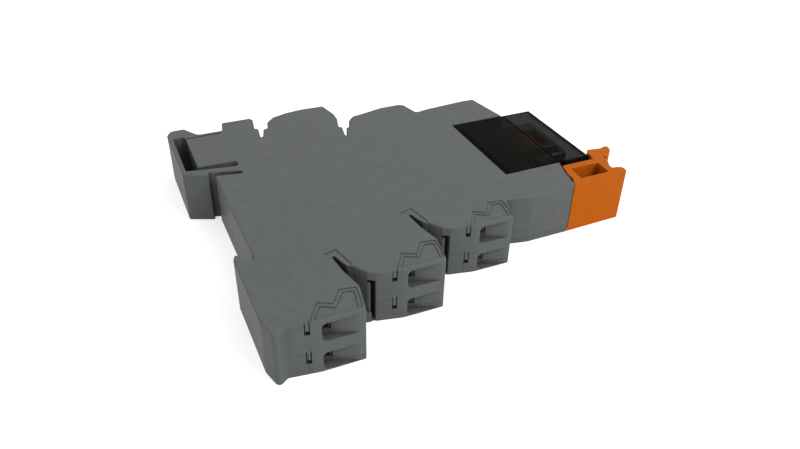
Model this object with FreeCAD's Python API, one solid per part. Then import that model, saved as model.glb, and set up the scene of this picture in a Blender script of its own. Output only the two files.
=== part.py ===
"""Slim two-pole plug-in relay module for a 35 mm rail, with push-in terminals.

The module lies on its flat side. X runs from the rail seat towards the front, Y runs across the rail from
the fixed hook towards the springy foot, and Z runs through the thin width. The origin is the centre of the
rail seat, half way through the width. All lengths are in millimetres.
"""
import FreeCAD, Part
import math
import os

from FreeCAD import Vector

# ---------------------------------------------------------------- housing
module_width = 12.0
wall = 1.2                   # outer walls of the housing
top_wall = 1.1               # flat side, above the chambers
cover_floor = 1.2            # side cover, below the chambers
edge_chamfer = 0.2           # along the flat side's rim
cover_seam = 0.06            # open seam between the shell and the side cover
divider_thickness = 1.0

# ---------------------------------------------------------------- rail seat, hook and foot
rail_width = 35.0
rail_thickness = 1.0
rail_play = 0.1              # left at each edge of the rail
hook_reach = 3.7             # from the rail seat to the outside of the hook
hook_nose_overlap = 2.8      # how far the slanted nose comes over the rail
hook_end_y = -39.8
foot_reach = 6.7             # from the rail seat to the outside of the foot
foot_wall = 1.0
foot_tooth_overlap = 1.2     # how far the tooth comes over the rail
foot_tooth_rise = 2.3        # slope of the tooth's lead-in face
foot_top_y = 41.0
foot_slot_length = 6.0       # both slots beside the springy beam end here
foot_slot_height = 1.3
foot_beam = 2.3
foot_block_x = -2.8          # rail side of the block inside the foot
foot_arm = 1.0
foot_arm_gap = 0.45
foot_arm_y = 35.3

# ---------------------------------------------------------------- stepped terminal towers
tower_pitch_x = 19.5
tower_pitch_y = 7.4
first_tower_end_x = 14.2     # front end of the tower beside the hook
near_face_y = -39.25         # terminal face of that tower
terminal_pitch_x = 19.7      # terminals and label fields stand a little wider than the towers
tower_face_length = 14.5
tower_flat_length = 8.6      # the part of the face that lies along X
tower_slant = 1.15
tower_bulge = 1.25
notch_depth = 16.7           # from a terminal face to the end of the notch beside it
notch_end_width = 0.5
notch_slot_width = 0.8
face_wall = 2.4              # wall behind a terminal face
far_face_y = 40.8            # terminal face of the second far tower
far_pitch_y = 6.95
far_notch_depth = 18.0
slot_depth = 2.4             # of the narrow slot beside each near tower's face
slot_top_z = 4.0
slot_hole = 0.6
pillar_foot_z = -3.6         # top of the wider foot of the pillar beside that slot
blank_face_y = 40.8          # blank tower beside the foot

# ---------------------------------------------------------------- terminals
funnel_size = 4.1            # height of the funnel
funnel_corner = 1.0
funnel_angle = 30.0          # between the wire and the terminal face
funnel_offset = 4.2          # where the wire crosses the face, behind the tower's front end
funnel_reach = 8.2           # upright inner end of the funnel, behind the tower's front end
funnel_depth = 2.1           # at that end
funnel_front = 1.3           # where its floor comes out, behind the tower's front end
funnel_throat = 6.0          # start of the wire hole, behind the tower's front end
upper_funnel_z = 3.1
lower_funnel_z = -3.7
wire_hole_size = 1.9
key_offset = 11.25           # release opening, behind the tower's front end
key_width = 1.0
key_height = 0.9
upper_key_z = 3.3
lower_key_z = -3.5
key_groove = 0.2
key_groove_depth = 0.2
tongue_top_z = -1.0          # side cover's tongue in a terminal face
tongue_depth = 1.9
tongue_end = 10.9
label_step = 0.16            # depth of each of the two steps of the label field

# ---------------------------------------------------------------- relay bay and front
bay_x = 60.6                 # face of the socket wall
socket_wall = 1.2
bay_floor = 0.6
front_x = 75.2               # front edge of the housing at the bay
near_front_y = -19.5         # near and far faces of the front part
far_front_y = 29.4

# ---------------------------------------------------------------- relay
relay_height = 22.8          # along X, without its pins
relay_length = 26.4          # along Y
relay_thickness = 11.1       # along Z
relay_y = 4.3                # middle of the relay
relay_z = 0.25
relay_gap = 0.2              # between relay and bay
relay_seat = 0.4
relay_wall = 0.6
relay_base_height = 3.0
blade = 0.6                  # thickness of a contact blade
blade_width = 2.4
pin_length = 3.6
pin_width = 1.0
pin_clearance = 0.05
pole_pitch_y = 3.0
common_inset = 4.5           # from the relay's near end to the common blades
coil_pin_inset = 2.7         # from the relay's far end to the coil pins
yoke_inset = 3.0             # from the relay's far end to the yoke's outer face
yoke_cover_gap = 0.8
coil_drop = 6.1              # from the yoke's outer face to the coil's axis
winding_radius = 4.1
core_radius = 1.6
pole_radius = 2.6
yoke_thickness = 1.2
yoke_width = 7.2
armature_thickness = 1.0
armature_gap = 0.8
armature_play = 0.15         # between the armature and the edge of the yoke it tilts on
card_height = 2.0
card_rise = 11.6             # heights above the foot of the relay
contact_rise = 9.2
spring_axis_rise = 4.6
spring_tip_rise = 14.4
spring_thickness = 0.25
contact_radius = 0.9
contact_gap = 0.45

# ---------------------------------------------------------------- bracket
pivot_back = 4.8             # behind the front edge of the housing
pivot_rise = 2.2             # from the near face of the front part
nose_radius = 2.6            # rounded nose of the housing, on which the bracket turns
nose_play = 0.1
eye_radius = 1.6
eye_play = 0.2
tongue_height = 2.8
tongue_width = 2.4
tongue_play = 0.15
tongue_length = 3.7
peg_radius = 0.8
peg_clearance = 0.05
peg_length = 2.5
bracket_swing = 16.0         # degrees from closed to open
bracket_gap = 0.25           # between bracket and housing front
bracket_bay_gap = 1.6        # between bracket and the near side of the bay
bracket_reach = 3.8          # beyond the relay's front
bracket_wall = 1.9
bracket_near_wall = 2.5
bracket_floor = 1.2
pocket_set = 0.3
tab_gap = 0.2
tab_overlap = 2.4
tab_reach = 6.9
tab_hole = 0.35
toe_gap = 0.2
toe_thickness = 0.9
toe_end_gap = 0.4
lug_set = 1.35               # in front of the housing's front edge
lug_size = 1.5
lug_reach = 2.3
lug_height = 4.0
lug_play = 0.25

# ---------------------------------------------------------------- conductors and board
bar_thickness = 0.6
clamp_thickness = 0.35
clamp_clearance = 0.1
board_thickness = 1.0
board_length = 27.5
board_width = 14.0
board_inset = 2.4            # from the socket wall to the board
board_margin = 5.2           # from the coil contacts to the board's far edge
bar_landing = 3.0            # length of a bar's foot on the board
contact_landing = 4.0        # length of a coil contact's foot on the board

# ---------------------------------------------------------------- worked out
top_z = module_width / 2
bottom_z = -module_width / 2
ceiling_z = top_z - top_wall
floor_z = bottom_z + cover_floor
divider_top = divider_thickness / 2
divider_bottom = -divider_thickness / 2
upper_z = (divider_top + ceiling_z) / 2
lower_z = (floor_z + divider_bottom) / 2
rail_near_y = -rail_width / 2 - rail_play
rail_far_y = rail_width / 2 + rail_play
bay_y0 = relay_y - relay_length / 2 - relay_gap
bay_y1 = relay_y + relay_length / 2 + relay_gap
relay_x0 = bay_x + relay_seat
relay_x1 = relay_x0 + relay_height
relay_y0 = relay_y - relay_length / 2
relay_y1 = relay_y + relay_length / 2
relay_z0 = relay_z - relay_thickness / 2
relay_z1 = relay_z + relay_thickness / 2
common_y = relay_y0 + common_inset
coil_pin_y = relay_y1 - coil_pin_inset
board_x1 = bay_x - socket_wall - board_inset
board_x0 = board_x1 - board_length
board_y1 = coil_pin_y + board_margin
board_y0 = board_y1 - board_width
yoke_top = relay_x1 - relay_wall - yoke_cover_gap
coil_x = yoke_top - coil_drop
card_x = relay_x0 + card_rise
contact_x = relay_x0 + contact_rise
spring_axis_x = relay_x0 + spring_axis_rise
spring_tip_x = relay_x0 + spring_tip_rise
pivot_x = front_x - pivot_back
pivot_y = near_front_y + pivot_rise
bracket_inner_y = bay_y0 - bracket_bay_gap
bracket_front_x = relay_x1 + bracket_reach
lug_x = front_x + lug_set
LAYERS = {"upper": upper_z, "lower": lower_z}


# ================================================================ helpers
def outline(corners):
    """Closed wire through (x, y) or (x, y, radius) corners, each radius limited by the sides beside it."""
    count = len(corners)
    ends = []
    for i, corner in enumerate(corners):
        here = Vector(corner[0], corner[1], 0)
        before = Vector(*corners[i - 1][:2], 0) - here
        after = Vector(*corners[(i + 1) % count][:2], 0) - here
        radius = corner[2] if len(corner) > 2 else 0
        turn = math.pi - before.getAngle(after)
        if radius <= 0 or turn < 0.02:
            ends.append((here, None, here))
            continue
        reach = min(radius * math.tan(turn / 2), 0.45 * before.Length, 0.45 * after.Length)
        radius = reach / math.tan(turn / 2)
        before.normalize()
        after.normalize()
        bisector = before + after
        bisector.normalize()
        middle = here + bisector * (radius / math.cos(turn / 2) - radius)
        ends.append((here + before * reach, middle, here + after * reach))
    edges = []
    for i in range(count):
        start, middle, stop = ends[i]
        if middle is not None:
            edges.append(Part.Arc(start, middle, stop).toShape())
        following = ends[(i + 1) % count][0]
        if stop.distanceToPoint(following) > 1e-6:
            edges.append(Part.LineSegment(stop, following).toShape())
    return Part.Wire(edges)


def prism(corners, z0, z1):
    """Upright solid on an outline in the XY plane."""
    face = Part.Face(outline(corners))
    face.translate(Vector(0, 0, z0))
    return face.extrude(Vector(0, 0, z1 - z0))


def block(x0, x1, y0, y1, z0, z1):
    return Part.makeBox(x1 - x0, y1 - y0, z1 - z0, Vector(x0, y0, z0))


def rod(radius, start, stop):
    axis = Vector(*stop) - Vector(*start)
    return Part.makeCylinder(radius, axis.Length, Vector(*start), axis)


def strip(path, thickness, z0, z1):
    """Bent flat strip: a path in the XY plane with mitred corners, standing on edge."""
    points = [Vector(x, y, 0) for x, y in path]
    sides = []
    for i, point in enumerate(points):
        normals = []
        if i > 0:
            step = (point - points[i - 1]).normalize()
            normals.append(Vector(-step.y, step.x, 0))
        if i < len(points) - 1:
            step = (points[i + 1] - point).normalize()
            normals.append(Vector(-step.y, step.x, 0))
        normal = normals[0] + normals[-1]
        normal.normalize()
        sides.append(normal * (thickness / 2 / normal.dot(normals[0])))
    left = [(p.x + s.x, p.y + s.y) for p, s in zip(points, sides)]
    right = [(p.x - s.x, p.y - s.y) for p, s in zip(points, sides)]
    return prism(left + right[::-1], z0, z1)


def fused(first, *others):
    shape = first
    for other in others:
        shape = shape.fuse(other)
    return shape.removeSplitter()


def save(node, shape):
    if shape.ShapeType == "Compound" and len(shape.Solids) == 1:
        shape = shape.Solids[0]
    shape.exportStep("parts/" + node + ".step")


# ================================================================ outline of the housing
def tower_end(i):
    return first_tower_end_x + i * tower_pitch_x


def terminal_x(i):
    return first_tower_end_x + i * terminal_pitch_x


def near_face(i):
    return near_face_y + i * tower_pitch_y


def far_face(i):
    return far_face_y - (i - 1) * far_pitch_y


def slot_end(i):
    return tower_end(i + 1) - tower_face_length + 0.35


def face_slots():
    """Narrow upright slot beside the second and third near faces, closed on top by the flat side."""
    cuts = []
    for i in range(2):
        x, y = slot_end(i), near_face(i) + notch_depth - 7.3
        left = x - notch_slot_width
        cuts.append(block(left, x, near_face(i + 1) - 0.5, y + slot_depth, bottom_z - 1, slot_top_z))
        cuts.append(block(left - slot_hole, left, y - 0.7, y + 1.0, slot_top_z - slot_hole, slot_top_z))
    return cuts


def pillar_feet(z1):
    """Wider foot of the pillar between each notch and the slot beside it."""
    feet = []
    for i in range(2):
        x, y, slot_x = tower_end(i), near_face(i) + notch_depth, slot_end(i) - 0.1
        feet.append(prism([(x + 1.8, y - 4.1), (x + 2.4, y - 7.0), (x + 2.8, y - 7.6), (slot_x, y - 8.0),
                           (slot_x, y - 5.0)], bottom_z, z1))
    return feet


def notch_after(i):
    """Narrow notch between near tower i and the next one, from the tower's front edge to the next face."""
    x, y = tower_end(i), near_face(i) + notch_depth
    slot_x = slot_end(i)
    return [
        (x + tower_bulge, near_face(i) + 6.6, 3.0), (x + 0.1, y - 5.1, 2.0), (x - 0.4, y - 0.5),
        (x - 0.3, y), (x - 0.3 + notch_end_width, y - 0.1),
        (x + 0.6, y - 1.8), (x + 1.3, y - 3.65), (x + 2.2, y - 4.35), (x + 3.1, y - 5.85),
        (slot_x - 1.35, y - 7.15, 0.5), (slot_x + 0.2, near_face(i + 1) + tower_slant + 0.1, 0.6),
    ]


def near_tower(i):
    x, y = tower_end(i), near_face(i)
    return [(x - tower_flat_length, y + 0.1, 6.0), (x, y, 0.5)]


def near_side():
    points = []
    for i in range(3):
        points += near_tower(i)
        if i < 2:
            points += notch_after(i)
    x, y = tower_end(2), near_face(2)
    points += [(x + 0.7, y + 2.3, 1.0), (x + 1.9, y + 6.3, 0.4), (x + 5.0, near_front_y + 0.6, 3.0),
               (x + 8.0, near_front_y, 4.0)]
    return points


def far_notch_before(i):
    """Wedge-shaped notch between far tower i and the one nearer to the rail."""
    x = tower_end(i - 1)
    y = far_face(i) - 3.9
    end_y = far_face(i) + far_pitch_y - far_notch_depth
    return [
        (x + 5.5, y + 2.0), (x + 4.4, y + 0.9, 0.8), (x + 3.6, y - 0.1, 0.6),
        (x + 2.9, y - 3.0), (x + 1.7, y - 3.5),
        (x + 1.1, y - 5.6), (x + 0.5, end_y), (x, end_y),
    ]


def far_side():
    x2, x1, x0 = tower_end(2), tower_end(1), tower_end(0)
    y2, y1 = far_face(2), far_face(1)
    points = [(x2 + 5.1, far_front_y - 0.9, 3.0), (x2 + 2.3, far_front_y - 1.5, 0.6),
              (x2 + 1.0, y2 - 0.7, 1.2),
              (x2 - 0.4, y2, 1.0), (x2 - 5.5, y2, 4.0), (x2 - 11.2, y2 - 1.4)]
    points += far_notch_before(2)
    points += [(x1 + 0.8, y1 - 13.5), (x1 + 0.1, y1 - 12.9), (x1 + 1.3, y1 - 8.6), (x1 + 1.4, y1 - 5.5, 2.0),
               (x1 + 0.3, y1 - 0.2, 0.6), (x1 - 5.9, y1 + 0.05, 6.0), (x1 - 10.1, y1 - 0.5),
               (x1 - 14.0, y1 - 1.8)]
    points += far_notch_before(1)
    points += [(x0 + 0.6, blank_face_y - 6.6), (x0 - 0.2, blank_face_y - 6.0),
               (x0 + 0.6, blank_face_y - 1.2, 0.5),
               (x0 + 0.2, blank_face_y - 0.1, 0.5), (x0 - 7.1, blank_face_y, 0.4)]
    return points


def foot():
    """Outside of the springy foot, ending at the slot under its beam."""
    arm_top = foot_arm_y + foot_arm_gap + foot_arm
    tooth_x = -rail_thickness - 0.2
    tooth_y = rail_far_y - foot_tooth_overlap
    return [
        (foot_slot_length + 0.3, arm_top, 0.5), (0.4, arm_top, 1.5), (-1.6, foot_top_y - 1.0, 1.5),
        (-2.1, foot_top_y, 0.8), (1.0 - foot_reach, foot_top_y, 1.6), (-foot_reach, foot_top_y - 2.0, 1.6),
        (-foot_reach, tooth_y + foot_tooth_rise, 0.6), (tooth_x, tooth_y, 0.3), (tooth_x, rail_far_y),
        (foot_slot_length, rail_far_y - 1.8, 0.5),
        (foot_slot_length, rail_far_y - 1.8 - foot_slot_height, 0.5),
        (0.0, rail_far_y - 2.0),
    ]


def hook():
    return [
        (0.0, rail_near_y), (-rail_thickness - 0.2, rail_near_y),
        (0.7 - hook_reach, rail_near_y + hook_nose_overlap, 0.3), (-hook_reach, rail_near_y + 1.0, 0.8),
        (-hook_reach, hook_end_y + 4.4, 4.0), (1.2 - hook_reach, hook_end_y, 1.0),
        (-0.5, hook_end_y + 1.5, 0.8),
    ]


def front():
    """Front edge of the housing, from the nose that the bracket turns on to the far corner."""
    return [
        (pivot_x + nose_radius, near_front_y), (pivot_x + nose_radius, pivot_y + 0.5, 0.4),
        (front_x - 1.75, pivot_y + 1.7, 0.6), (front_x - 1.3, bay_y0 - 3.9), (front_x, bay_y0),
        (front_x, bay_y1), (front_x - 1.5, far_front_y - 3.3), (front_x - 2.1, far_front_y - 0.1, 0.6),
        (front_x - 5.8, far_front_y, 3.0),
    ]


def foot_opening():
    """Pocket and slots inside the foot, which leave it as a springy loop round the block."""
    beam_y = rail_far_y + foot_beam - 0.4
    x0 = foot_wall - foot_reach
    slot_y = foot_arm_y + foot_arm_gap
    return [
        (x0, beam_y + 0.4, 0.4), (foot_block_x - 0.3, beam_y - 0.1, 1.0),
        (foot_slot_length - 1.4, beam_y - 1.4, 0.8), (foot_slot_length, beam_y - 1.3, 0.8),
        (foot_slot_length, beam_y + 1.0, 0.9), (foot_block_x, beam_y + 1.1, 0.2),
        (foot_block_x, foot_arm_y, 0.2), (foot_slot_length, foot_arm_y), (foot_slot_length, slot_y),
        (foot_block_x - 0.1, slot_y), (foot_block_x - 0.4, slot_y + 0.8, 0.3), (x0, slot_y + 0.8, 0.4),
    ]


def housing_outline():
    return hook() + near_side() + front() + far_side() + foot()


# ================================================================ inside of the housing
def chambers(z0, z1, inset=0.0):
    """Hollow of the housing between two heights, each side moved in by inset."""
    def room(x0, x1, y0, y1):
        return block(x0 + inset, x1 - inset, y0 + inset, y1 - inset, z0, z1)

    end_x = bay_x - socket_wall
    slot_top = rail_far_y - 1.8
    near_end = near_face(1) + notch_depth + wall
    far_end = far_face(2) + far_pitch_y - far_notch_depth - wall
    rooms = [room(wall + 0.1, end_x, near_end, slot_top - foot_slot_height - wall),
             room(foot_slot_length + wall, end_x, 0.0, far_end)]
    for i in range(3):
        rooms.append(room(terminal_x(i) - 12.9, terminal_x(i) - 1.5, near_face(i) + face_wall, 0.0))
    for i in (1, 2):
        rooms.append(room(terminal_x(i) - 12.9, terminal_x(i) - 1.5, 0.0, far_face(i) - face_wall))
    return fused(*rooms)


def blank_hollow():
    return block(foot_slot_length + 1.6, tower_end(0) - 1.6, far_face(1) - 16.0, blank_face_y - wall,
                 floor_z, ceiling_z)


def front_hollows():
    near_end = pivot_x - eye_radius - eye_play - wall / 2
    near = block(bay_x + wall, near_end, near_front_y + wall, bay_y0 - wall, floor_z, ceiling_z)
    far = block(bay_x + wall, front_x - 4.0, bay_y1 + wall, far_front_y - 1.6, floor_z, ceiling_z)
    return near.fuse(far)


def funnel(i, side, z):
    """Wire funnel whose floor rises towards the tower's front end, and the wire hole in its inner end."""
    x, y = terminal_x(i), near_face(i) if side < 0 else far_face(i)

    def deep(share):
        return y - side * share * funnel_depth

    step = (funnel_reach - funnel_front) / 4
    left, front = x - funnel_reach, x - funnel_front
    floor = [(left, deep(-1.0)), (left, deep(1.0)), (left + step, deep(0.92), 1.2),
             (left + 2 * step, deep(0.55), 3.0), (front, deep(0.0)), (front + step, deep(-0.25)),
             (front + step, deep(-1.0))]
    half_width = (funnel_reach - funnel_front / 2) / 2
    middle = Vector(x - funnel_reach + half_width, y + side * 3.0, z)
    mouth = rounded_bar(half_width, funnel_size / 2, funnel_corner, middle, Vector(0, -side * 6.0, 0))
    recess = prism(floor, z - funnel_size, z + funnel_size).common(mouth)
    angle = math.radians(funnel_angle)
    inward = Vector(-math.cos(angle), -side * math.sin(angle), 0)
    reach = 6.0 + (face_wall + wire_hole_size / 2) / math.sin(angle)
    outside = Vector(x - funnel_offset, y, z) - inward * 6.0
    wire = rounded_bar(wire_hole_size / 2, wire_hole_size / 2, 0, outside, inward * reach)
    y0, y1 = sorted((y, y - side * (face_wall + wire_hole_size)))
    throat = block(x - 20.0, x - funnel_throat, y0, y1, z - funnel_size, z + funnel_size)
    return recess.fuse(wire.common(throat))


def rounded_bar(half_width, half_height, corner, start, path):
    """Bar with rounded corners that runs along a level path."""
    section = outline([(-half_height, -half_width, corner), (half_height, -half_width, corner),
                       (half_height, half_width, corner), (-half_height, half_width, corner)])
    upright = Vector(0, 0, 1)
    section.Placement = FreeCAD.Placement(start, FreeCAD.Rotation(upright, path.cross(upright), path, "ZXY"))
    return Part.Face(section).extrude(path)


def release_opening(i, side, z, groove_top):
    """Square opening for a screwdriver tip, with a narrow groove up each side of the strip above it."""
    x0 = terminal_x(i) - key_offset
    y = near_face(i) if side < 0 else far_face(i)
    y0, y1 = sorted((y + side * 1.0, y - side * (face_wall + 0.3)))
    g0, g1 = sorted((y + side * 1.0, y - side * (key_groove_depth + 0.5)))
    cutter = block(x0, x0 + key_width, y0, y1, z, z + key_height)
    for left in (x0, x0 + key_width - key_groove):
        cutter = cutter.fuse(block(left, left + key_groove, g0, g1, z, groove_top))
    return cutter


def terminal_cuts():
    cuts = []
    for i, side in ((0, -1), (1, -1), (2, -1), (1, 1), (2, 1)):
        cuts += [funnel(i, side, upper_funnel_z), funnel(i, side, lower_funnel_z)]
        cuts.append(release_opening(i, side, upper_key_z, top_z + 1.0))
        cuts.append(release_opening(i, side, lower_key_z, tongue_top_z + 0.5))
    return cuts


def label_fields():
    """Stepped label field on the flat side beside each near terminal face, and the sunk rim of each notch."""
    cuts = []
    for i in range(3):
        x, y = terminal_x(i), near_face(i)
        outer = [(x - 10.2, y + 0.8), (x - 7.4, y + 5.1), (x - 4.8, y + 3.7), (x - 2.7, y + 6.9),
                 (x + 0.6, y + 6.4, 0.5), (x + 0.1, y + 2.6), (x - 0.4, y + 0.8)]
        inner = [(x - 9.4, y + 0.8), (x - 7.2, y + 4.1), (x - 4.7, y + 2.7), (x - 2.2, y + 6.1),
                 (x - 0.1, y + 5.7, 0.5), (x - 0.7, y + 2.4), (x - 1.0, y + 0.8)]
        cuts.append(prism(outer, top_z - label_step, top_z + 1))
        cuts.append(prism(inner, top_z - 2 * label_step, top_z + 1))
        if i < 2:
            x, end = tower_end(i), y + notch_depth
            rim = [(x - 1.7, end + 1.1), (x + 1.1, end + 1.8), (x + 2.3, end - 3.9), (x + 1.4, end - 4.3),
                   (x + 0.2, end - 0.1), (x - 1.2, end + 0.2)]
            cuts.append(prism(rim, top_z - label_step, top_z + 1))
    return cuts


def socket_holes():
    """Openings in the socket wall for the relay's pins."""
    holes = []
    for z in LAYERS.values():
        for y in blade_places():
            holes.append(block(bay_x - socket_wall - 0.1, bay_x + 0.1,
                               y - blade / 2 - 0.15, y + blade / 2 + 0.15,
                               z - pin_width / 2 - 0.15, z + pin_width / 2 + 0.15))
    return holes


def blade_places():
    return [common_y - pole_pitch_y, common_y, common_y + pole_pitch_y, coil_pin_y]


def cover_plan(seam=0.0):
    """Side cover's plate: the housing's outline without the rail side, hook and foot."""
    edge = wall + 0.1
    step_x, step_y = foot_slot_length + wall, rail_far_y - 1.8 - foot_slot_height - wall
    near, far, right = near_face_y - 1, foot_top_y + 1, front_x + 1
    keep = prism([(edge, near), (right, near), (right, far), (step_x, far), (step_x, step_y), (edge, step_y)],
                 bottom_z, floor_z + seam)
    plan = fused(prism(housing_outline(), bottom_z, floor_z + seam), *pillar_feet(floor_z + seam))
    return plan.common(keep)


def cover_tongues(seam=0.0):
    """Tongues of the side cover that rise into the start of each near terminal face."""
    body = prism(housing_outline(), floor_z, tongue_top_z + seam)
    tongues = []
    for i in range(3):
        x, y = tower_end(i), near_face(i)
        start = max(x - tower_face_length, wall + 0.1)
        room = block(start, x - tongue_end + seam, y - 1, y + tongue_depth, floor_z, tongue_top_z + seam)
        tongues.append(body.common(room))
    return tongues


def nose_relief():
    """What is taken off the near front corner to leave the rounded nose."""
    corner = block(pivot_x, pivot_x + nose_radius + 1, near_front_y - 1, pivot_y, bottom_z - 1, top_z + 1)
    return corner.cut(rod(nose_radius, (pivot_x, pivot_y, bottom_z - 1), (pivot_x, pivot_y, top_z + 1)))


def pivot_seat():
    """Slot for the bracket's tongue over its whole swing, and the two bores for its pegs."""
    half = tongue_height / 2 + tongue_play
    seat = rod(eye_radius + eye_play, (pivot_x, pivot_y, -half), (pivot_x, pivot_y, half))
    for swing in (0.0, 0.5, 1.0):
        angle = -math.radians(swing * bracket_swing)
        far = (pivot_x + 5 * math.cos(angle), pivot_y + 5 * math.sin(angle))
        seat = seat.fuse(strip([(pivot_x, pivot_y), far], tongue_width + 2 * tongue_play, -half, half))
    reach = tongue_height / 2 + peg_length + 0.2
    bores = rod(peg_radius + peg_clearance, (pivot_x, pivot_y, -reach), (pivot_x, pivot_y, reach))
    return seat.fuse(bores)


def housing_shell():
    shape = prism(housing_outline(), bottom_z, top_z)
    rim = [edge for edge in shape.Edges if all(abs(v.Z - top_z) < 1e-6 for v in edge.Vertexes)]
    shape = shape.makeChamfer(edge_chamfer, rim)
    shape = fused(shape, *pillar_feet(pillar_foot_z))
    shape = shape.cut(prism(foot_opening(), bottom_z - 1, top_z + 1))
    shape = shape.cut(cover_plan(cover_seam))
    shape = shape.cut(cover_tongues(cover_seam))
    shape = shape.cut([chambers(floor_z, ceiling_z), blank_hollow(), front_hollows()])
    shape = shape.cut(block(bay_x, front_x + 1, bay_y0, bay_y1, bottom_z + bay_floor, top_z + 1))
    shape = shape.cut(terminal_cuts() + label_fields() + face_slots() + socket_holes())
    shape = shape.cut([nose_relief(), pivot_seat()])
    return shape.removeSplitter()


def side_cover():
    shape = fused(cover_plan(), *cover_tongues())
    shape = shape.cut(block(bay_x, front_x + 1, bay_y0, bay_y1, bottom_z + bay_floor, top_z))
    return shape.cut(terminal_cuts() + face_slots() + [nose_relief()]).removeSplitter()


def pole_divider():
    """Insulating plate between the poles, with a window for the circuit board."""
    plate = chambers(divider_bottom, divider_top, 0.1)
    window = block(board_x0 - 0.1, board_x1 + 0.1, board_y0 - 0.1, board_y1 + 0.1, -5, 5)
    return plate.cut(window)


# ================================================================ conductors
def bar_span(layer):
    """Height of a bar: it stands on the divider or hangs under it."""
    if layer == "upper":
        return divider_top, ceiling_z - 0.3
    return floor_z + 0.3, divider_bottom


def clamp_zone(i, side):
    """Inner face of a terminal wall and the direction into the chamber."""
    y = near_face(i) + face_wall if side < 0 else far_face(i) - face_wall
    return terminal_x(i), y, -side


def terminal_bar(i, side, layer):
    x, y, inward = clamp_zone(i, side)
    z0, z1 = bar_span(layer)
    start = [(x - 12.0, y + inward * 3.6), (x - 6.8, y + inward * 0.6), (x - 2.6, y + inward * 0.6)]
    if side > 0:
        path = start + [(x - 2.6, board_y1 - bar_landing)]
        return strip(path, bar_thickness, z0, z1)
    target = common_y + (1 - i) * pole_pitch_y
    fork_x = bay_x - socket_wall - 0.1
    shape = strip(start + [(x - 2.6, target), (fork_x, target)], bar_thickness, z0, z1)
    return shape.cut(fork_slot(fork_x, target, LAYERS[layer]))


def fork_slot(fork_x, y, z):
    half = pin_width / 2 + pin_clearance
    return block(relay_x0 - pin_length - 0.3, fork_x + 1, y - 1, y + 1, z - half, z + half)


def coil_contact(layer):
    fork_x = bay_x - socket_wall - 0.1
    z0, z1 = bar_span(layer)
    shape = block(board_x1 - contact_landing, fork_x,
                  coil_pin_y - bar_thickness / 2, coil_pin_y + bar_thickness / 2, z0, z1)
    return shape.cut(fork_slot(fork_x, coil_pin_y, LAYERS[layer]))


def clamp_spring(i, side, layer):
    """Bent leaf that presses the wire against the slanted part of the bar."""
    x, y, inward = clamp_zone(i, side)
    z0, z1 = bar_span(layer)
    left = x - 12.9 + clamp_clearance + clamp_thickness / 2
    low = clamp_clearance + clamp_thickness / 2
    path = [(left, y + inward * 2.9), (left, y + inward * low), (left + 1.2, y + inward * low),
            (x - 10.0, y + inward * 1.75)]
    return strip(path, clamp_thickness, z0 + 0.1, z1 - 0.1)


def circuit_board():
    return block(board_x0, board_x1, board_y0, board_y1, -board_thickness / 2, board_thickness / 2)


# ================================================================ relay
def relay_cover():
    outer = block(relay_x0, relay_x1, relay_y0, relay_y1, relay_z0, relay_z1)
    rim = [edge for edge in outer.Edges if all(abs(v.X - relay_x1) < 1e-6 for v in edge.Vertexes)]
    outer = outer.makeFillet(0.35, rim)
    inner = block(relay_x0 - 1, relay_x1 - relay_wall, relay_y0 + relay_wall, relay_y1 - relay_wall,
                  relay_z0 + relay_wall, relay_z1 - relay_wall)
    lug = block(lug_x, lug_x + lug_size, relay_y0 - lug_reach, relay_y0, -lug_height / 2, lug_height / 2)
    return fused(outer.cut(inner), lug)


def relay_base():
    gap = relay_wall + 0.05
    shape = block(relay_x0, relay_x0 + relay_base_height, relay_y0 + gap, relay_y1 - gap,
                  relay_z0 + gap, relay_z1 - gap)
    for z in LAYERS.values():
        for y in blade_places():
            shape = shape.cut(block(relay_x0 - 1, relay_x0 + relay_base_height + 1,
                                    y - blade / 2, y + blade / 2,
                                    z - blade_width / 2, z + blade_width / 2))
    return shape


def blade_shape(y, z, top_x):
    """Contact blade: a wide strip above the base and a narrow plug pin below it."""
    upper = block(relay_x0, top_x, y - blade / 2, y + blade / 2, z - blade_width / 2, z + blade_width / 2)
    pin = block(relay_x0 - pin_length, relay_x0,
                y - blade / 2, y + blade / 2, z - pin_width / 2, z + pin_width / 2)
    return fused(upper, pin)


def spring_y():
    return common_y + blade / 2 + 0.05 + spring_thickness / 2


def moving_faces():
    """Near and far face of the moving contact."""
    return spring_y() - contact_radius, spring_y() + contact_radius


def fixed_rivets():
    solids = []
    near, far = moving_faces()
    for z in LAYERS.values():
        closed_y = common_y - pole_pitch_y + blade / 2
        open_y = common_y + pole_pitch_y - blade / 2
        solids.append(rod(contact_radius, (contact_x, closed_y, z), (contact_x, near - 0.05, z)))
        solids.append(rod(contact_radius, (contact_x, far + contact_gap, z), (contact_x, open_y, z)))
    return Part.Compound(solids)


def moving_rivets():
    near, far = moving_faces()
    half = spring_thickness / 2
    solids = []
    for z in LAYERS.values():
        solids.append(rod(contact_radius, (contact_x, near, z), (contact_x, spring_y() - half, z)))
        solids.append(rod(contact_radius, (contact_x, spring_y() + half, z), (contact_x, far, z)))
    return Part.Compound(solids)


def moving_spring(z):
    half = spring_thickness / 2
    return block(spring_axis_x - 0.6, spring_tip_x, spring_y() - half, spring_y() + half, z - 1.0, z + 1.0)


armature_far_y = common_y + pole_pitch_y + 0.25
pole_face_y = armature_far_y + armature_gap
flange_y = pole_face_y + 0.65
yoke_y = relay_y1 - yoke_inset - yoke_thickness
bobbin_end_y = yoke_y - 0.1
winding_end_y = bobbin_end_y - 3.6


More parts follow.
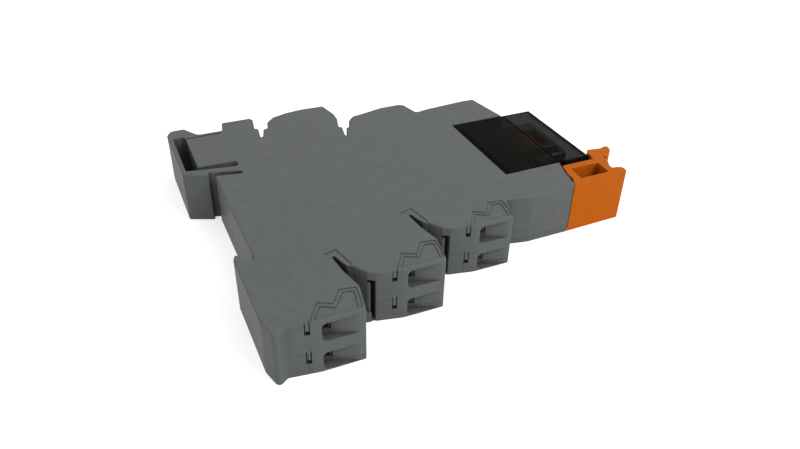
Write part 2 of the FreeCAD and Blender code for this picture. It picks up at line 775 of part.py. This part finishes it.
def coil_bobbin():
    low, high = coil_x - 4.7, yoke_top - yoke_thickness - 0.1
    z0, z1 = relay_z - 4.5, relay_z + 4.5
    near = block(low, high, flange_y, flange_y + 0.8, z0, z1)
    far = block(low, high, winding_end_y, bobbin_end_y, z0, z1)
    barrel = rod(core_radius + 0.9, (coil_x, flange_y, relay_z), (coil_x, bobbin_end_y, relay_z))
    foot_x = relay_x0 + relay_base_height
    foot_plate = block(foot_x, foot_x + 1.2, flange_y, bobbin_end_y, z0, z1)
    leg = block(relay_x0 + relay_base_height, low, winding_end_y, bobbin_end_y, z0, z1)
    leg_near = block(relay_x0 + relay_base_height, low, flange_y, flange_y + 0.8, z0, z1)
    bore = rod(core_radius + 0.02, (coil_x, flange_y - 1, relay_z), (coil_x, bobbin_end_y + 1, relay_z))
    return fused(near, far, barrel, foot_plate, leg, leg_near).cut(bore)


def coil_winding():
    start = (coil_x, flange_y + 0.85, relay_z)
    stop = (coil_x, winding_end_y - 0.05, relay_z)
    return rod(winding_radius, start, stop).cut(rod(core_radius + 0.92, start, stop))


def coil_core():
    shaft = rod(core_radius, (coil_x, pole_face_y, relay_z), (coil_x, yoke_y, relay_z))
    pole = rod(pole_radius, (coil_x, pole_face_y, relay_z), (coil_x, pole_face_y + 0.6, relay_z))
    return fused(shaft, pole)


def magnet_yoke():
    z0, z1 = relay_z - yoke_width / 2, relay_z + yoke_width / 2
    plate = block(yoke_top - yoke_thickness, yoke_top,
                  armature_far_y + armature_play, yoke_y + yoke_thickness, z0, z1)
    leg = block(coil_x - 3.4, yoke_top, yoke_y, yoke_y + yoke_thickness, z0, z1)
    return fused(plate, leg)


def armature():
    near = armature_far_y - armature_thickness
    z0, z1 = relay_z - yoke_width / 2 + 0.3, relay_z + yoke_width / 2 - 0.3
    return block(card_x - 0.4, yoke_top - 0.1, near, armature_far_y, z0, z1)


def actuator_card():
    far = armature_far_y - armature_thickness
    near = spring_y() - 1.35
    z0, z1 = lower_z - 1.7, upper_z + 1.7
    shape = block(card_x, card_x + card_height, near, far, z0, z1)
    for z in LAYERS.values():
        shape = shape.cut(block(card_x - 1, card_x + card_height + 1, spring_y() - 0.43, spring_y() + 0.43,
                                z - 1.15, z + 1.15))
    return shape


# ================================================================ bracket
def retaining_bracket():
    """Bracket that turns on the housing's nose, holds the relay with its tab and lifts it with its toe."""
    tab_x = relay_x1 + tab_gap
    tab_far = relay_y0 + tab_overlap
    tab_end = relay_x1 + tab_reach
    wall_x = tab_x + 0.9
    near, far, end = near_front_y, bracket_inner_y, bracket_front_x
    left = front_x + bracket_gap
    plan = [
        (pivot_x + 1.0, near), (end - 1.2, near + 0.3, 0.8), (end - 0.2, near + 1.4, 0.6),
        (end, near + 3.0, 0.8), (end - 1.5, near + 3.6, 0.4), (wall_x + 0.3, near + 3.6, 0.3),
        (wall_x + 0.2, near + 4.6), (tab_end - 4.6, far - 2.2), (tab_end - 0.8, tab_far - 2.3, 0.4),
        (tab_end, tab_far - 0.5, 0.5), (tab_end - 0.9, tab_far - 0.1, 0.4),
        (tab_end - 2.4, tab_far - 0.6, 1.0), (wall_x, tab_far, 0.4),
        (tab_x, tab_far - 1.1, 0.2), (tab_x, far + 1.3), (tab_x - 0.3, far + 0.9), (tab_x - 0.4, far),
        (left - 0.6, far, 0.3), (left - 1.05, far - 1.9), (left - 1.55, far - 3.6),
        (left - 1.65, far - 5.3, 0.2),
        (left - 1.95, far - 6.5, 0.2), (pivot_x + 2.4, pivot_y - 0.3), (pivot_x + 0.5, pivot_y - 1.3),
    ]
    shape = prism(plan, bottom_z, top_z)
    seat = rod(nose_radius + nose_play, (pivot_x, pivot_y, bottom_z - 1), (pivot_x, pivot_y, top_z + 1))
    shape = shape.cut(seat)
    pocket_near, pocket_far = near + bracket_near_wall, far - bracket_wall
    pocket = [(front_x + pocket_set, pocket_near, 0.3), (tab_x - 0.8, pocket_near, 0.3),
              (tab_x - 0.6, pocket_far, 0.3),
              (front_x + pocket_set + 0.5, pocket_far, 0.3)]
    shape = shape.cut(prism(pocket, bottom_z + bracket_floor, top_z + 1))
    hole = (tab_end - 4.0, far - 0.4)
    shape = shape.cut(rod(tab_hole, (*hole, top_z - 1.5), (*hole, top_z + 1)))
    half = lug_height / 2
    toe = block(lug_x - toe_gap - toe_thickness, lug_x - toe_gap,
                far - 0.5, relay_y0 - toe_end_gap, -half, half)
    lug_room = block(lug_x - toe_gap, lug_x + lug_size + lug_play, relay_y0 - lug_reach - lug_play, far + 1,
                     -half - lug_play, half + lug_play)
    half = tongue_height / 2
    arm = strip([(pivot_x, pivot_y), (pivot_x + tongue_length, pivot_y)], tongue_width, -half, half)
    eye = rod(eye_radius, (pivot_x, pivot_y, -half), (pivot_x, pivot_y, half))
    pegs = rod(peg_radius, (pivot_x, pivot_y, -half - peg_length), (pivot_x, pivot_y, half + peg_length))
    return fused(fused(shape, toe).cut(lug_room), arm, eye, pegs)


# ================================================================ write every node
os.makedirs("parts", exist_ok=True)

save("housing_shell", housing_shell())
save("side_cover", side_cover())
save("pole_divider", pole_divider())
save("retaining_bracket", retaining_bracket())

for layer in LAYERS:
    for i in range(3):
        save(f"near_bar_{i + 1}_{layer}", terminal_bar(i, -1, layer))
        save(f"near_clamp_{i + 1}_{layer}", clamp_spring(i, -1, layer))
    for i in (1, 2):
        save(f"far_bar_{i + 1}_{layer}", terminal_bar(i, 1, layer))
        save(f"far_clamp_{i + 1}_{layer}", clamp_spring(i, 1, layer))
    save(f"coil_contact_{layer}", coil_contact(layer))

save("circuit_board", circuit_board())
half_board = board_thickness / 2
led_x, led_y = board_x1 - 3.6, board_y0 + 3.0
diode_x, diode_y = board_x0 + 10.5, board_y0 + 4.0
resistor_x, resistor_y = board_x0 + 8.5, board_y0 + 9.0
save("status_led", rod(1.0, (led_x, led_y, half_board), (led_x, led_y, half_board + 1.8)))
save("diode", rod(0.9, (diode_x, diode_y, half_board + 0.9), (diode_x + 4.4, diode_y, half_board + 0.9)))
save("resistor", block(resistor_x, resistor_x + 3.2, resistor_y, resistor_y + 1.6,
                       half_board, half_board + 0.6))

save("relay_cover", relay_cover())
save("relay_base", relay_base())
save("coil_bobbin", coil_bobbin())
save("coil_winding", coil_winding())
save("coil_core", coil_core())
save("magnet_yoke", magnet_yoke())
save("armature", armature())
save("actuator_card", actuator_card())
save("fixed_contacts", fixed_rivets())
save("moving_contacts", moving_rivets())
blade_top = card_x - 0.8
for layer, z in LAYERS.items():
    save(f"common_blade_{layer}", blade_shape(common_y, z, spring_axis_x + 0.8))
    save(f"closed_blade_{layer}", blade_shape(common_y - pole_pitch_y, z, blade_top))
    save(f"open_blade_{layer}", blade_shape(common_y + pole_pitch_y, z, blade_top))
    save(f"coil_pin_{layer}", blade_shape(coil_pin_y, z, relay_x0 + relay_base_height + 3.0))
    save(f"moving_spring_{layer}", moving_spring(z))
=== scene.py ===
"""Looks of the slim plug-in relay module: finishes, slot sills, light and camera. Lengths in metres."""
import math

import bmesh
import bpy
from mathutils import Matrix, Vector


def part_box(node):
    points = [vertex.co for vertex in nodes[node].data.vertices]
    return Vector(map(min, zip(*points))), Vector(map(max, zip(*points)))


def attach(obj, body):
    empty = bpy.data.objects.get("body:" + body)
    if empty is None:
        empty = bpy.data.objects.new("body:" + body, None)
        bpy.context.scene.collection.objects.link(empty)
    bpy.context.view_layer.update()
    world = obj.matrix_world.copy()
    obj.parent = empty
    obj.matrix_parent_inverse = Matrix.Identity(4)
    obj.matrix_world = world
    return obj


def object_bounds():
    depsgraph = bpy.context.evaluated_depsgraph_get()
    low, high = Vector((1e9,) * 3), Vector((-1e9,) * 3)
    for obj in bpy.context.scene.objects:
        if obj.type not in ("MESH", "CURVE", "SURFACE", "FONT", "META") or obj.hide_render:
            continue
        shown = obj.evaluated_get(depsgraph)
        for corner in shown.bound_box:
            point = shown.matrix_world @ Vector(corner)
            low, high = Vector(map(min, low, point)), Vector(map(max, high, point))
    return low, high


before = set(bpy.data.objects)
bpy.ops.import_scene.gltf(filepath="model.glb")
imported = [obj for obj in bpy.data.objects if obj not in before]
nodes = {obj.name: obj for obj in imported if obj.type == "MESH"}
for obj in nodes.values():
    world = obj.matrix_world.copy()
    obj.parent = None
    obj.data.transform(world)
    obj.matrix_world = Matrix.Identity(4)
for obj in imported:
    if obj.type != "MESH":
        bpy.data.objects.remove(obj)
cad_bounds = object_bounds()
MM = 0.001
HOLLOW, OPEN = 0.25, 0.95               # shares of free space at which a corner's painted shade is darkest, and gone


# ---------------------------------------------------------------- helpers
def linear(red, green, blue):
    """Linear colour from 8-bit display values."""
    def one(value):
        value /= 255.0
        return value / 12.92 if value <= 0.04045 else ((value + 0.055) / 1.055) ** 2.4
    return (one(red), one(green), one(blue), 1.0)


def scaled(colour, factor):
    """A colour made lighter or darker by a factor."""
    return tuple(min(1.0, c * factor) for c in colour[:3]) + (1.0,)


class Surface:
    """A material with a Principled shader and short ways to add detail to its colour, gloss and relief."""

    def __init__(self, name, colour, roughness, **settings):
        self.material = bpy.data.materials.new(name)
        self.material.use_nodes = True
        self.tree = self.material.node_tree
        self.shader = self.tree.nodes["Principled BSDF"]
        self.coordinates = self.tree.nodes.new("ShaderNodeTexCoord")
        self.colour = colour
        self.shader.inputs["Base Color"].default_value = colour
        self.shader.inputs["Roughness"].default_value = roughness
        for key, value in settings.items():
            self.shader.inputs[key.replace("_", " ")].default_value = value
        self.normal = None

    def node(self, kind, **inputs):
        """A new node, with its sockets set by their names."""
        made = self.tree.nodes.new(kind)
        for key, value in inputs.items():
            made.inputs[key.replace("_", " ")].default_value = value
        return made

    def link(self, source, target):
        self.tree.links.new(source, target)

    def mapped(self, scale=(1, 1, 1)):
        """Coordinates fixed to the piece, stretched by a scale along each axis."""
        mapping = self.node("ShaderNodeMapping")
        mapping.inputs["Scale"].default_value = scale
        self.link(self.coordinates.outputs["Object"], mapping.inputs["Vector"])
        return mapping.outputs["Vector"]

    def noise(self, size, detail=3.0, stretch=(1, 1, 1)):
        """Noise from 0 to 1, with patches of a given size."""
        made = self.node("ShaderNodeTexNoise", Scale=1.0 / size, Detail=detail, Roughness=0.5)
        self.link(self.mapped(stretch), made.inputs["Vector"])
        return made.outputs["Fac"]

    def mottle(self, size, low, high):
        """Varies the base colour between two brightness factors over patches of a given size."""
        ramp = self.node("ShaderNodeValToRGB")
        ramp.color_ramp.elements[0].position = 0.3
        ramp.color_ramp.elements[1].position = 0.7
        ramp.color_ramp.elements[0].color = scaled(self.colour, low)
        ramp.color_ramp.elements[1].color = scaled(self.colour, high)
        self.link(self.noise(size), ramp.inputs["Fac"])
        self.link(ramp.outputs["Color"], self.shader.inputs["Base Color"])
        return self

    def rough(self, size, low, high):
        """Varies the roughness between two values."""
        spread = self.node("ShaderNodeMapRange")
        spread.inputs["To Min"].default_value = low
        spread.inputs["To Max"].default_value = high
        self.link(self.noise(size), spread.inputs["Value"])
        self.link(spread.outputs["Result"], self.shader.inputs["Roughness"])
        return self

    def calculate(self, operation, first, second=0.0):
        """Arithmetic on two numbers or sockets."""
        made = self.tree.nodes.new("ShaderNodeMath")
        made.operation = operation
        for value, socket in ((first, made.inputs[0]), (second, made.inputs[1])):
            if isinstance(value, (int, float)):
                socket.default_value = value
            else:
                self.link(value, socket)
        return made.outputs[0]

    def step(self, value, start, end, low=0.0, high=1.0):
        """Runs from low to high while the value goes from start to end."""
        made = self.node("ShaderNodeMapRange")
        for key, number in (("From Min", start), ("From Max", end), ("To Min", low), ("To Max", high)):
            made.inputs[key].default_value = number
        self.link(value, made.inputs["Value"])
        return made.outputs["Result"]

    def axes(self):
        """The three coordinates of a place on the piece."""
        split = self.tree.nodes.new("ShaderNodeSeparateXYZ")
        self.link(self.coordinates.outputs["Object"], split.inputs["Vector"])
        return split.outputs

    def bump(self, height, depth, strength=1.0):
        """Adds relief of a given depth, on top of what there is."""
        made = self.node("ShaderNodeBump", Strength=strength, Distance=depth)
        self.link(height, made.inputs["Height"])
        if self.normal is not None:
            self.link(self.normal, made.inputs["Normal"])
        self.normal = made.outputs["Normal"]
        self.link(self.normal, self.shader.inputs["Normal"])
        return self

    def soft_edges(self, radius):
        """Rounds sharp edges in the shading."""
        bevel = self.node("ShaderNodeBevel", Radius=radius)
        self.normal = bevel.outputs["Normal"]
        self.link(self.normal, self.shader.inputs["Normal"])
        return self

    def shaded_corners(self, reach, darkest, own=True):
        """Paints shade into the base colour in narrow gaps and inner corners, of its own node or of all of
        them.
        """
        hollow = self.node("ShaderNodeAmbientOcclusion", Distance=reach)
        hollow.only_local = own
        hollow.samples = 6
        return self.shaded(self.step(hollow.outputs["AO"], HOLLOW, OPEN, darkest, 1.0))

    def shaded(self, factor):
        """Multiplies the base colour by a factor."""
        base = self.shader.inputs["Base Color"]
        shade = self.tree.nodes.new("ShaderNodeVectorMath")
        shade.operation = "SCALE"
        self.link(base.links[0].from_socket, shade.inputs[0])
        self.link(factor, shade.inputs["Scale"])
        self.link(shade.outputs["Vector"], base)
        return self


def dress(surface, *names):
    """Gives CAD nodes a finish."""
    for name in names:
        slots = nodes[name].data.materials
        slots.clear()
        slots.append(surface.material)


# ---------------------------------------------------------------- smoky cover of the relay
SOCKET_EDGE = 75.5 * MM                 # along X: where the relay comes out of the bay
FADE = 0.5 * MM                         # half of the stretch over which the top gets clearer there
LINE_OUTSIDE = 0.6 * MM                 # half widths of the painted shade line along that edge, where the bay floor ends behind the top
LINE_CORE = 0.35 * MM
OUTER_START, OUTER_FULL = 0.5, 0.4      # depths, in walls, within which a face counts as an outer one
RIM_WIDTHS = (2.2, 1.0)                 # dark rims at the ends along X and Y, in walls
RIM_BLUR = 0.2                          # in walls
RIM_SHADE = 0.15                        # brightness of the rims, and of the painted shade line, against the rest
BAY_DENSITY = 0.9                       # how much each stretch hides: the top over the bay, denser as painted shade of the bay floor behind it
FRONT_DENSITY = 0.6                     # the top in front of the bay
SIDE_DENSITY = 0.94                     # the sides, and the rims
LINE_DENSITY = 0.99                     # the painted shade line


def smoky_cover():
    """Smoky plastic: only its outer faces show, clearest on top, with dark rims, painted shade over the bay
    and a painted shade line at the socket edge.
    """
    smoke = Surface("smoky_cover", linear(16, 17, 13), 0.1, Specular_IOR_Level=0.01)
    smoke.soft_edges(0.2 * MM).mottle(6.0 * MM, 0.9, 1.1)
    base_low, base_high = (Vector(corner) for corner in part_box("relay_base"))
    cover_low, cover_high = (Vector(corner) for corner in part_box("relay_cover"))
    wall = cover_high.z - base_high.z

    def distance(axis, middle):
        """From a plane across an axis."""
        return smoke.calculate("ABSOLUTE", smoke.calculate("SUBTRACT", smoke.axes()[axis], middle))

    def greatest(*masks):
        """The greatest of several masks, at each place."""
        total = masks[0]
        for mask in masks[1:]:
            total = smoke.calculate("MAXIMUM", total, mask)
        return total

    # Along Y the walls stand round the base: the cover's box also holds the lug that the bracket pushes.
    ends = ((cover_low.x, cover_high.x), (base_low.y - wall, base_high.y + wall), (cover_low.z, cover_high.z))
    outer_faces, rims = [], []
    for axis, (low, high) in enumerate(ends):
        half = (high - low) / 2
        away = distance(axis, (low + high) / 2)
        outer_faces.append(smoke.step(away, half - OUTER_START * wall, half - OUTER_FULL * wall))
        if axis < len(RIM_WIDTHS):
            width = RIM_WIDTHS[axis]
            rims.append(smoke.step(away, half - (width + RIM_BLUR) * wall, half - (width - RIM_BLUR) * wall))
    # Painted shade: a dark line where the bay floor's front edge lies behind the top.
    socket_edge_shade = smoke.step(distance(0, SOCKET_EDGE), LINE_OUTSIDE, LINE_CORE)
    height = smoke.axes()[2]
    top_face = smoke.step(height, cover_high.z - OUTER_START * wall, cover_high.z - OUTER_FULL * wall)
    bay_end, front_start = SOCKET_EDGE - FADE, SOCKET_EDGE + FADE
    # Painted shade: the top hides more over the bay, where the bay floor keeps light from coming through,
    # than in front of it.
    bay_shade_density = smoke.step(smoke.axes()[0], bay_end, front_start, BAY_DENSITY, FRONT_DENSITY)

    rim = greatest(*rims)
    # The rims are darkened, and the line at the socket edge is painted shade.
    smoke.shaded(smoke.step(greatest(rim, socket_edge_shade), 0.0, 1.0, 1.0, RIM_SHADE))
    sides = greatest(rim, smoke.calculate("SUBTRACT", 1.0, top_face))
    density = greatest(
        bay_shade_density,
        smoke.calculate("MULTIPLY", sides, SIDE_DENSITY),
        smoke.calculate("MULTIPLY", socket_edge_shade, LINE_DENSITY),
    )
    alpha = smoke.calculate("MULTIPLY", density, greatest(*outer_faces))
    smoke.link(alpha, smoke.shader.inputs["Alpha"])
    return smoke


# ---------------------------------------------------------------- finishes
GREY = linear(101, 105, 103)
ORANGE = linear(197, 99, 12)
WIRE_PITCH = 0.9 * MM                   # of the winding's bands


def grey_moulding(name, colour, roughness, patch):
    """Matt grey plastic with a fine grain, faint patches of a given size, and painted shade that darkens its
    gaps and inner corners.
    """
    made = Surface(name, colour, roughness, Specular_IOR_Level=0.1)
    made.soft_edges(0.12 * MM).mottle(patch, 0.95, 1.05).rough(0.5 * MM, roughness - 0.06, roughness + 0.08)
    # Painted shade: gaps and inner corners darkened down to 0.35 of the colour.
    return made.bump(made.noise(0.16 * MM, 2.0), 0.012 * MM, 0.5).shaded_corners(2.5 * MM, 0.35)


housing = grey_moulding("housing_grey", GREY, 0.52, 2.2 * MM)
cover = grey_moulding("side_cover_grey", scaled(GREY, 0.97), 0.54, 2.0 * MM)
divider = Surface("divider_grey", linear(78, 80, 80), 0.6).mottle(1.5 * MM, 0.94, 1.06)

orange = Surface("bracket_orange", ORANGE, 0.45, Specular_IOR_Level=0.05)
orange.soft_edges(0.15 * MM).mottle(1.8 * MM, 0.95, 1.04).rough(0.6 * MM, 0.4, 0.52)
# Painted shade: the bracket's pocket and inner corners darkened down to half of the orange.
orange.bump(orange.noise(0.14 * MM, 2.0), 0.008 * MM, 0.4).shaded_corners(3.0 * MM, 0.5)

black = Surface("relay_base_black", linear(24, 25, 24), 0.4).mottle(1.0 * MM, 0.9, 1.1)
bobbin = Surface("bobbin_dark", linear(44, 52, 40), 0.45).mottle(1.0 * MM, 0.9, 1.1)
card = Surface("card_plastic", linear(96, 92, 70), 0.5).mottle(0.8 * MM, 0.92, 1.06)

winding = Surface("enamelled_wire", linear(196, 104, 70), 0.4, Metallic=0.2, Specular_IOR_Level=0.2)
wave = winding.node("ShaderNodeTexWave", Scale=1.0 / WIRE_PITCH, Distortion=0.6, Detail=1.0)
wave.bands_direction = "Y"
winding.link(winding.mapped(), wave.inputs["Vector"])
winding.mottle(0.7 * MM, 0.75, 1.2).bump(wave.outputs["Fac"], 0.05 * MM)

iron = Surface("plated_iron", linear(150, 152, 150), 0.35, Metallic=1.0)
iron.mottle(0.8 * MM, 0.85, 1.05).bump(iron.noise(0.2 * MM, 2.0, (0.2, 1, 1)), 0.01 * MM, 0.5)

copper_alloy = Surface("dull_contact_alloy", linear(128, 112, 92), 0.5, Metallic=0.5, Specular_IOR_Level=0.1)
# Painted shade: bars, blades and pins darkened down to 0.15 where any piece crowds them.
copper_alloy.mottle(1.2 * MM, 0.82, 1.06).rough(0.5 * MM, 0.42, 0.6).shaded_corners(4.0 * MM, 0.15, False)

spring_steel = Surface("spring_steel", linear(130, 130, 128), 0.4, Metallic=0.6, Specular_IOR_Level=0.1)
spring_steel.mottle(1.0 * MM, 0.85, 1.05)
spring_steel.bump(spring_steel.noise(0.15 * MM, 2.0, (0.1, 1, 1)), 0.008 * MM, 0.5)

silver = Surface("silver_contact", linear(205, 204, 198), 0.25, Metallic=1.0).mottle(0.5 * MM, 0.85, 1.05)
board = Surface("board_green", linear(40, 82, 52), 0.35).mottle(0.9 * MM, 0.85, 1.08)
component = Surface("component_black", linear(38, 38, 39), 0.4).mottle(0.6 * MM, 0.9, 1.1)
led = Surface("led_lens", linear(70, 150, 70), 0.15, Transmission_Weight=0.6, IOR=1.5)
led.mottle(0.6 * MM, 0.9, 1.1)

dress(housing, "housing_shell")
dress(cover, "side_cover")
dress(divider, "pole_divider")
dress(orange, "retaining_bracket")
dress(smoky_cover(), "relay_cover")
dress(black, "relay_base")
dress(bobbin, "coil_bobbin")
dress(card, "actuator_card")
dress(winding, "coil_winding")
dress(iron, "coil_core", "magnet_yoke", "armature")
dress(silver, "fixed_contacts", "moving_contacts")
dress(board, "circuit_board")
dress(component, "diode", "resistor")
dress(led, "status_led")
for name in nodes:
    if "_bar_" in name or "_blade_" in name or "coil_contact" in name or "coil_pin" in name:
        dress(copper_alloy, name)
    elif "_clamp_" in name or "moving_spring" in name:
        dress(spring_steel, name)


# ---------------------------------------------------------------- sills under the slots of two towers
def upright(name, corners, low, high, bevel):
    """Closed upright piece on an outline in the XY plane, with softened edges."""
    mesh = bmesh.new()
    ring = [mesh.verts.new((x, y, low)) for x, y in corners]
    face = mesh.faces.new(ring)
    raised = bmesh.ops.extrude_face_region(mesh, geom=[face])["geom"]
    top = [part for part in raised if isinstance(part, bmesh.types.BMVert)]
    bmesh.ops.translate(mesh, vec=(0, 0, high - low), verts=top)
    bmesh.ops.bevel(mesh, geom=mesh.edges[:], offset=bevel, segments=2, profile=0.5, affect="EDGES")
    bmesh.ops.recalc_face_normals(mesh, faces=mesh.faces[:])
    data = bpy.data.meshes.new(name)
    mesh.to_mesh(data)
    mesh.free()
    made = bpy.data.objects.new(name, data)
    bpy.context.scene.collection.objects.link(made)
    return made


SILL_OUTLINE = ((18.70, -30.25), (19.62, -30.35), (19.62, -27.4), (18.70, -27.4))   # mm, at the second tower
TOWER_STEP = (19.5, 7.4)                # mm along X and Y, from one tower to the next
SILL_HEIGHT = 0.7 * MM
SILL_EDGE = 0.05 * MM                   # bevel
table_z = cad_bounds[0][2]

# Painted shade: the sills are the housing grey darkened to 0.4, as they sit at the bottom of the slots.
sill_shade_finish = Surface("sill_grey_painted_shade", scaled(GREY, 0.4), 0.6, Specular_IOR_Level=0.1)
sill_shade_finish.mottle(0.8 * MM, 0.9, 1.1).bump(sill_shade_finish.noise(0.16 * MM, 2.0), 0.012 * MM, 0.5)
for i, tower in enumerate((2, 3)):
    corners = [((x + i * TOWER_STEP[0]) * MM, (y + i * TOWER_STEP[1]) * MM) for x, y in SILL_OUTLINE]
    sill = upright(f"slot_sill_{tower}", corners, table_z, table_z + SILL_HEIGHT, SILL_EDGE)
    sill.data.materials.append(sill_shade_finish.material)
    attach(sill, "housing")


# ---------------------------------------------------------------- floor and background
FLOOR_HALF_SIZE = 6.0
FLOOR_GREY = (0.82, 0.82, 0.82, 1)
FLOOR_GLOW = 0.6                        # makes up for the floor's own shading, for rays that see it directly
WORLD_LIGHT = 0.62                      # strength on the object
WHITE = (1, 1, 1, 1)
centre = (Vector(cad_bounds[0]) + Vector(cad_bounds[1])) / 2


def square(name, half_size, z):
    """Flat square round the object's centre."""
    mesh = bpy.data.meshes.new(name)
    signs = ((-1, -1), (1, -1), (1, 1), (-1, 1))
    corners = [(centre.x + sx * half_size, centre.y + sy * half_size, z) for sx, sy in signs]
    mesh.from_pydata(corners, [], [(0, 1, 2, 3)])
    made = bpy.data.objects.new(name, mesh)
    bpy.context.scene.collection.objects.link(made)
    return made


def seen_directly(node_tree):
    """1 for camera, glossy and transmission rays, which see the white background, and 0 for the rest."""
    path = node_tree.nodes.new("ShaderNodeLightPath")
    total = path.outputs["Is Camera Ray"]
    for other in ("Is Glossy Ray", "Is Transmission Ray"):
        widest = node_tree.nodes.new("ShaderNodeMath")
        widest.operation = "MAXIMUM"
        node_tree.links.new(total, widest.inputs[0])
        node_tree.links.new(path.outputs[other], widest.inputs[1])
        total = widest.outputs[0]
    return total


def pale_ground():
    """Pale matt floor that keeps the object's shadow and otherwise looks white."""
    material = bpy.data.materials.new("pale_floor")
    material.use_nodes = True
    tree = material.node_tree
    diffuse = tree.nodes["Principled BSDF"]
    diffuse.inputs["Base Color"].default_value = FLOOR_GREY
    diffuse.inputs["Roughness"].default_value = 0.9
    diffuse.inputs["Specular IOR Level"].default_value = 0.0
    glow = tree.nodes.new("ShaderNodeEmission")
    glow.inputs["Color"].default_value = WHITE
    share = tree.nodes.new("ShaderNodeMath")
    share.operation = "MULTIPLY"
    share.inputs[1].default_value = FLOOR_GLOW
    tree.links.new(seen_directly(tree), share.inputs[0])
    tree.links.new(share.outputs[0], glow.inputs["Strength"])
    both = tree.nodes.new("ShaderNodeAddShader")
    tree.links.new(diffuse.outputs[0], both.inputs[0])
    tree.links.new(glow.outputs[0], both.inputs[1])
    tree.links.new(both.outputs[0], tree.nodes["Material Output"].inputs["Surface"])
    return material


def studio_world():
    """Even light from all round, in front of a white background."""
    world = bpy.data.worlds.new("studio")
    bpy.context.scene.world = world
    world.use_nodes = True
    tree = world.node_tree
    background = tree.nodes["Background"]
    background.inputs["Color"].default_value = WHITE
    strength = tree.nodes.new("ShaderNodeMapRange")
    strength.inputs["To Min"].default_value = WORLD_LIGHT
    strength.inputs["To Max"].default_value = 1.0
    tree.links.new(seen_directly(tree), strength.inputs["Value"])
    tree.links.new(strength.outputs["Result"], background.inputs["Strength"])


floor = square("floor", FLOOR_HALF_SIZE, table_z)
floor.data.materials.append(pale_ground())
studio_world()


# ---------------------------------------------------------------- key light and camera
KEY_PLACE = (0.16, -0.26, 0.3)          # from the object's centre
KEY_SIZE = 0.25
KEY_POWER = 0.75                        # W
CAMERA_PLACE = (-20.85 * MM, -127.73 * MM, 89.36 * MM)
CAMERA_TURN = (-24.93, 34.56, 1.22)     # degrees: round the object, above it, and rolled
CAMERA_LENS = 32.53                     # mm
SENSOR_WIDTH = 36.0                     # mm


def area_light(name, place, size, watts):
    """Soft round lamp at a place relative to the object's centre, aimed at it."""
    lamp = bpy.data.lights.new(name, "AREA")
    lamp.shape = "DISK"
    lamp.size = size
    lamp.energy = watts
    made = bpy.data.objects.new(name, lamp)
    bpy.context.scene.collection.objects.link(made)
    made.location = centre + Vector(place)
    made.rotation_euler = (centre - made.location).to_track_quat("-Z", "Y").to_euler()


def photo_camera():
    """Camera at the photograph's viewpoint."""
    turn, rise, roll = (math.radians(angle) for angle in CAMERA_TURN)
    back = Vector((math.sin(turn) * math.cos(rise), -math.cos(turn) * math.cos(rise), math.sin(rise)))
    right = Vector((0, 0, 1)).cross(back).normalized()
    up = back.cross(right)
    right, up = (right * math.cos(roll) + up * math.sin(roll), up * math.cos(roll) - right * math.sin(roll))
    data = bpy.data.cameras.new("camera")
    data.lens = CAMERA_LENS
    data.sensor_width = SENSOR_WIDTH
    data.clip_start = 5 * MM
    camera = bpy.data.objects.new("camera", data)
    bpy.context.scene.collection.objects.link(camera)
    camera.matrix_world = Matrix((
        (right.x, up.x, back.x, CAMERA_PLACE[0]),
        (right.y, up.y, back.y, CAMERA_PLACE[1]),
        (right.z, up.z, back.z, CAMERA_PLACE[2]),
        (0, 0, 0, 1),
    ))
    bpy.context.scene.camera = camera


area_light("key", KEY_PLACE, KEY_SIZE, KEY_POWER)
photo_camera()
bpy.context.scene.view_settings.view_transform = "Standard"
